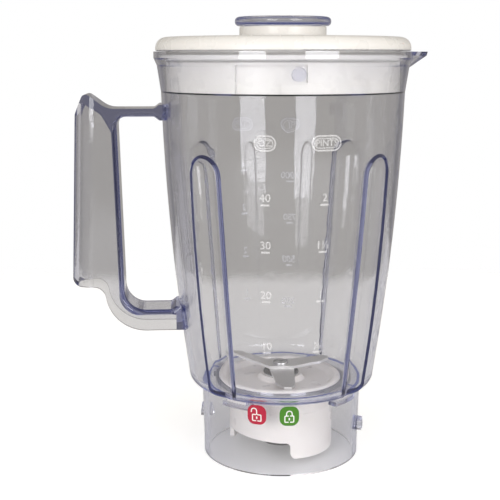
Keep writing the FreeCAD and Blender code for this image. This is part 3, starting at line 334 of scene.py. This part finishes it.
def make_materials():
    """Every CAD node gets its finish."""
    dress(["jar", "handle", "base_collar"], clear_plastic("clear_jar", 0.012, 0.02, 62.0))
    dress(["measuring_cap"], clear_plastic("clear_cap", 0.03, 0.03, 9.0, (1.0, 1.0, 0.99)))
    dress(["lid"],
          moulded("lid_white", (0.79, 0.775, 0.755), (0.77, 0.755, 0.735), 0.28, 0.03, 900.0,
                  softness=0.1))
    dress(["lid_seal"],
          moulded("seal_white", (0.76, 0.75, 0.74), (0.72, 0.71, 0.70), 0.45, 0.15, 700.0))
    dress(["blade_holder"],
          moulded("holder_white", (0.94, 0.90, 0.87), (0.92, 0.88, 0.85), 0.30, 0.03, 900.0,
                  softness=0.1))
    dress(["holder_gasket", "hub_gasket", "shaft_seal"],
          moulded("rubber_grey", (0.40, 0.40, 0.41), (0.33, 0.33, 0.34), 0.55, 0.2, 1200.0,
                  sheen=0.2))
    dress(["bearing_hub", "drive_coupling"],
          moulded("hub_dark", (0.085, 0.08, 0.075), (0.06, 0.057, 0.053), 0.42, 0.25, 1500.0))
    dress(["upper_blade"], brushed("blade_steel_x", (0.84, 0.83, 0.82), 0.36, (0.03, 1, 1)))
    dress(["lower_blade"], brushed("blade_steel_y", (0.84, 0.83, 0.82), 0.36, (1, 0.03, 1)))
    dress(["blade_shaft", "top_washer", "bottom_washer"],
          brushed("turned_steel", (0.6, 0.6, 0.6), 0.25, TURNED))
    dress(["shaft_clip", "hub_lock_ring"],
          brushed("spring_steel", (0.35, 0.35, 0.36), 0.35, TURNED))
    dress(["upper_bush", "lower_bush", "coupling_insert"],
          brushed("bronze", (0.60, 0.42, 0.22), 0.35, TURNED))


# ---------------------------------------------------------------- moulded marks and printed signs

JAR_FOOT, JAR_SHOULDER = 49.4, 210.5
JAR_FOOT_RADIUS, JAR_SHOULDER_RADIUS, JAR_BELLY = 54.1, 68.1, 9.68
COLLAR_STRAIGHT, COLLAR_TOP = 9.0, 42.4
COLLAR_FOOT_RADIUS, COLLAR_TOP_RADIUS = 45.6, 46.5

# directions of the marks' middles, and the turn from there to each column
FRONT, BACK, COLUMN_TURN = -90.0, 93.0, 13.5
SIGN_TURN = 22.5

# marks and signs stand this far off the wall, so that no faces coincide
MARK_LIFT = 0.06
MARK_RELIEF = 0.3
MARK_ALPHA = 0.26
MARK_SIZE = 5.8
LABEL_SIZE = 4.6
NUMBER_ABOVE_LINE = 3.6
LINE_WIDTH, LINE_HEIGHT = 4.6, 1.2
OVAL_HEIGHT, OVAL_PEN = 7.4, 0.9
INNER_OVAL_HEIGHT, INNER_OVAL_PEN = 4.8, 0.6

SIGN_WIDTH, SIGN_HEIGHT, SIGN_MIDDLE = 10.8, 11.3, 35.5
SIGN_ROUNDING, INK = 4.0, 0.06
LOCK_WIDTH, LOCK_HEIGHT, LOCK_FOOT, LOCK_PEN = 4.9, 3.6, -3.5, 0.62
BOW_RADIUS, BOW_SHUT, BOW_OPEN, BOW_TAIL = 1.55, 1.3, 2.1, 0.9
KEYHOLE_LOW, KEYHOLE_HIGH, KEYHOLE_PEN = 1.1, 2.5, 0.8


def jar_radius(height):
    """The jar's outside radius between its foot and its shoulder, in millimetres."""
    share = (height - JAR_FOOT) / (JAR_SHOULDER - JAR_FOOT)
    return (JAR_FOOT_RADIUS + (JAR_SHOULDER_RADIUS - JAR_FOOT_RADIUS) * share
            + JAR_BELLY * share * (1 - share))


def collar_radius(height):
    """The collar's outside radius, in millimetres."""
    share = max(0.0, (height - COLLAR_STRAIGHT) / (COLLAR_TOP - COLLAR_STRAIGHT))
    return COLLAR_FOOT_RADIUS + (COLLAR_TOP_RADIUS - COLLAR_FOOT_RADIUS) * share


def wrapped(point, angle, middle, radius_at):
    """A flat drawing's point, in millimetres, laid on a round wall: across, up and out."""
    across, up, out = point
    height = middle + up
    radius = radius_at(height)
    turn = math.radians(angle) + across / radius
    reach = (radius + MARK_LIFT + out) * MM
    return Vector((reach * math.cos(turn), reach * math.sin(turn), height * MM))


def text_shape(words, size):
    """Raised characters as a flat mesh, centred, with softly bevelled edges."""
    curve = bpy.data.curves.new("characters", "FONT")
    curve.body = words
    curve.size = size
    curve.align_x, curve.align_y = "CENTER", "CENTER"
    curve.extrude = MARK_RELIEF / 4
    curve.bevel_depth = MARK_RELIEF / 4
    curve.bevel_resolution = 1
    curve.resolution_u = 4
    holder = bpy.data.objects.new("characters", curve)
    bpy.context.collection.objects.link(holder)
    bpy.context.view_layer.update()
    solid = holder.evaluated_get(bpy.context.evaluated_depsgraph_get())
    mesh = bpy.data.meshes.new_from_object(solid)
    bpy.data.objects.remove(holder)
    bpy.data.curves.remove(curve)
    points = [(v.co.x, v.co.y, v.co.z + MARK_RELIEF / 2) for v in mesh.vertices]
    faces = [tuple(polygon.vertices) for polygon in mesh.polygons]
    bpy.data.meshes.remove(mesh)
    return points, faces


def loop_shape(outline, width):
    """A closed raised ridge along an outline: a rounded section swept round it."""
    section = ((-0.5, 0.0), (-0.32, 0.8), (0.0, 1.0), (0.32, 0.8), (0.5, 0.0))
    count, points, faces = len(outline), [], []
    for i, (x, y) in enumerate(outline):
        (x0, y0), (x1, y1) = outline[i - 1], outline[(i + 1) % count]
        length = math.hypot(x1 - x0, y1 - y0)
        nx, ny = (y1 - y0) / length, -(x1 - x0) / length
        points += [(x + nx * s * width, y + ny * s * width, h * MARK_RELIEF) for s, h in section]
    step = len(section)
    for i in range(count):
        a, b = i * step, ((i + 1) % count) * step
        for j in range(step):
            k = (j + 1) % step
            faces.append((a + j, b + j, b + k, a + k))
    return points, faces


def oval(width, height, steps=12):
    """The outline of an oval with straight sides."""
    radius = height / 2
    reach = width / 2 - radius
    right = [(reach + radius * math.cos(t), radius * math.sin(t))
             for t in (math.pi * (i / steps - 0.5) for i in range(steps + 1))]
    return right + [(-x, -y) for x, y in right]


def bar_shape(width, height):
    """A short raised line with sloping sides."""
    x, y, slope = width / 2, height / 2, MARK_RELIEF / 2
    low = [(-x, -y, 0), (x, -y, 0), (x, y, 0), (-x, y, 0)]
    high = [(-x + slope, -y + slope, MARK_RELIEF), (x - slope, -y + slope, MARK_RELIEF),
            (x - slope, y - slope, MARK_RELIEF), (-x + slope, y - slope, MARK_RELIEF)]
    sides = [(i, (i + 1) % 4, (i + 1) % 4 + 4, i + 4) for i in range(4)]
    return low + high, [(3, 2, 1, 0), (4, 5, 6, 7)] + sides


def rounded_plate(width, height, rounding, thickness, steps=6, columns=8):
    """A thin plate with rounded corners, cut into upright columns so that it bends."""
    half, tall = width / 2, height / 2
    even = [-half + width * i / columns for i in range(columns + 1)]
    corner = [sign * (half - rounding * (1 - math.sin(math.pi / 2 * i / steps)))
              for i in range(steps + 1) for sign in (-1, 1)]
    edges = sorted(set(even + corner))
    points, faces = [], []
    for x in edges:
        over = max(0.0, abs(x) - (half - rounding))
        top = tall - rounding + math.sqrt(max(0.0, rounding ** 2 - over ** 2))
        points += [(x, -top, 0), (x, top, 0), (x, top, thickness), (x, -top, thickness)]
    for i in range(len(edges) - 1):
        a, b = 4 * i, 4 * i + 4
        faces += [(a, b, b + 3, a + 3), (a + 3, b + 3, b + 2, a + 2),
                  (a + 2, b + 2, b + 1, a + 1), (a + 1, b + 1, b, a)]
    last = 4 * (len(edges) - 1)
    faces += [(0, 3, 2, 1), (last, last + 1, last + 2, last + 3)]
    return points, faces


def stroke_shape(line, width, low, high):
    """A raised stroke along an open line of points."""
    points, faces = [], []
    for i, (x, y) in enumerate(line):
        x0, y0 = line[max(0, i - 1)]
        x1, y1 = line[min(len(line) - 1, i + 1)]
        length = math.hypot(x1 - x0, y1 - y0)
        nx, ny = (y1 - y0) / length * width / 2, -(x1 - x0) / length * width / 2
        points += [(x + nx, y + ny, low), (x - nx, y - ny, low),
                   (x - nx, y - ny, high), (x + nx, y + ny, high)]
    for i in range(len(line) - 1):
        a, b = 4 * i, 4 * i + 4
        faces += [(a + j, a + (j + 1) % 4, b + (j + 1) % 4, b + j) for j in range(4)]
    last = 4 * (len(line) - 1)
    faces += [(3, 2, 1, 0), (last, last + 1, last + 2, last + 3)]
    return points, faces


def joined(*shapes):
    points, faces = [], []
    for more, their_faces in shapes:
        start = len(points)
        points += more
        faces += [tuple(i + start for i in face) for face in their_faces]
    return points, faces


def build_piece(name, parts, materials):
    """One object from (shape, angle, middle height, wall radius, material index) parts."""
    mesh = bpy.data.meshes.new(name)
    points, faces, kinds = [], [], []
    for (flat, their_faces), angle, middle, radius_at, kind in parts:
        start = len(points)
        points += [wrapped(point, angle, middle, radius_at) for point in flat]
        faces += [tuple(i + start for i in face) for face in their_faces]
        kinds += [kind] * len(their_faces)
    mesh.from_pydata(points, [], faces)
    for material in materials:
        mesh.materials.append(material)
    for polygon, kind in zip(mesh.polygons, kinds):
        polygon.material_index = kind
    shape = bmesh.new()
    shape.from_mesh(mesh)
    bmesh.ops.recalc_face_normals(shape, faces=shape.faces)
    shape.to_mesh(mesh)
    shape.free()
    mesh.update()
    piece = bpy.data.objects.new(name, mesh)
    bpy.context.collection.objects.link(piece)
    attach(piece, "vessel")


def column(angle, label, label_width, label_height, rows):
    """One column of volume marks: an oval with the unit, and numbers with a line under each."""
    inner_width = label_width - (OVAL_HEIGHT - INNER_OVAL_HEIGHT)
    shapes = [
        (loop_shape(oval(label_width, OVAL_HEIGHT), OVAL_PEN), label_height),
        (loop_shape(oval(inner_width, INNER_OVAL_HEIGHT), INNER_OVAL_PEN), label_height),
        (text_shape(label, LABEL_SIZE), label_height),
    ]
    for number, height in rows:
        shapes.append((text_shape(number, MARK_SIZE), height + NUMBER_ABOVE_LINE))
        shapes.append((bar_shape(LINE_WIDTH, LINE_HEIGHT), height))
    return [(shape, angle, height, jar_radius, 0) for shape, height in shapes]


def make_volume_marks():
    """Raised marks as partly clear lines painted pale as a highlight: two columns at the front, two
    at the back.
    """
    plastic, tree, shader = new_material("raised_marks_painted_highlight")
    shader.inputs["Alpha"].default_value = MARK_ALPHA
    bump(tree, shader, noise(tree, 600.0, 2.0), 0.05, 0.05 * MM)
    # the pale white is a painted highlight on the clear raised marks, seen through in part
    tree.links.new(blend_colours(tree, noise(tree, 200.0), (0.95, 0.95, 0.96), (0.88, 0.88, 0.90)),
                   shader.inputs["Base Color"])
    tree.links.new(between(tree, noise(tree, 200.0), 0.2, 0.3), shader.inputs["Roughness"])
    build_piece("volume_marks_front", [
        *column(FRONT - COLUMN_TURN, "OZ", 10.8, 187.0,
                (("40", 155.4), ("30", 130.5), ("20", 103.6), ("10", 75.0))),
        *column(FRONT + COLUMN_TURN, "PINTS", 15.4, 187.0,
                (("2", 155.4), ("1½", 130.5), ("1", 103.6), ("½", 75.0))),
    ], [plastic])
    build_piece("volume_marks_back", [
        *column(BACK + COLUMN_TURN, "CUPS", 13.4, 188.0,
                (("4", 159.0), ("3", 132.0), ("2", 105.0), ("1", 78.0))),
        *column(BACK - COLUMN_TURN, "ML", 10.8, 188.0,
                (("1000", 152.0), ("750", 125.5), ("500", 98.7), ("250", 72.0))),
    ], [plastic])


def arc(radius, start, end, centre, steps=10):
    """Points along an arc, from one angle to another in degrees."""
    return [(centre[0] + radius * math.cos(math.radians(start + (end - start) * i / steps)),
             centre[1] + radius * math.sin(math.radians(start + (end - start) * i / steps)))
            for i in range(steps + 1)]


def padlock(lifted):
    """White line art: a lock body and its shackle, which stands up and aside when open."""
    low, high = INK, 2 * INK
    half, top = LOCK_WIDTH / 2, LOCK_FOOT + LOCK_HEIGHT
    body = [(-half, LOCK_FOOT), (half, LOCK_FOOT), (half, top), (-half, top)]
    sides = [stroke_shape([body[i], body[(i + 1) % 4]], LOCK_PEN, low, high) for i in range(4)]
    if lifted:
        bow = arc(BOW_RADIUS, 180, 0, (-BOW_RADIUS, top + BOW_OPEN))
        line = [(bow[0][0], bow[0][1] - BOW_TAIL), *bow, (bow[-1][0], top)]
    else:
        bow = arc(BOW_RADIUS, 180, 0, (0.0, top + BOW_SHUT))
        line = [(-BOW_RADIUS, top), *bow, (BOW_RADIUS, top)]
    slit = [(0.0, LOCK_FOOT + KEYHOLE_LOW), (0.0, LOCK_FOOT + KEYHOLE_HIGH)]
    keyhole = stroke_shape(slit, KEYHOLE_PEN, low, high)
    return joined(*sides, stroke_shape(line, LOCK_PEN, low, high), keyhole)


def make_lock_signs():
    """Printed signs on the collar: closed at the front, open where the blade unit comes free."""
    ink = moulded("sign_ink_white", (0.85, 0.86, 0.84), (0.80, 0.81, 0.80), 0.4, 0.05, 900.0)
    green = moulded("sign_ink_green", (0.050, 0.21, 0.004), (0.045, 0.19, 0.003), 0.5, 0.05, 900.0)
    red = moulded("sign_ink_red", (0.44, 0.003, 0.035), (0.40, 0.003, 0.030), 0.5, 0.05, 900.0)
    plate = rounded_plate(SIGN_WIDTH, SIGN_HEIGHT, SIGN_ROUNDING, INK)
    for name, turn, ground, lifted in (("lock_sign_closed", 0.0, green, False),
                                       ("lock_sign_open", -SIGN_TURN, red, True)):
        build_piece(name, [
            (plate, FRONT + turn, SIGN_MIDDLE, collar_radius, 0),
            (padlock(lifted), FRONT + turn, SIGN_MIDDLE, collar_radius, 1),
        ], [ground, ink])


make_camera()
make_world()
make_table()
for softbox in SOFTBOXES:
    make_softbox(*softbox)
make_materials()
make_volume_marks()
make_lock_signs()
bpy.context.scene.view_settings.view_transform = "Standard"
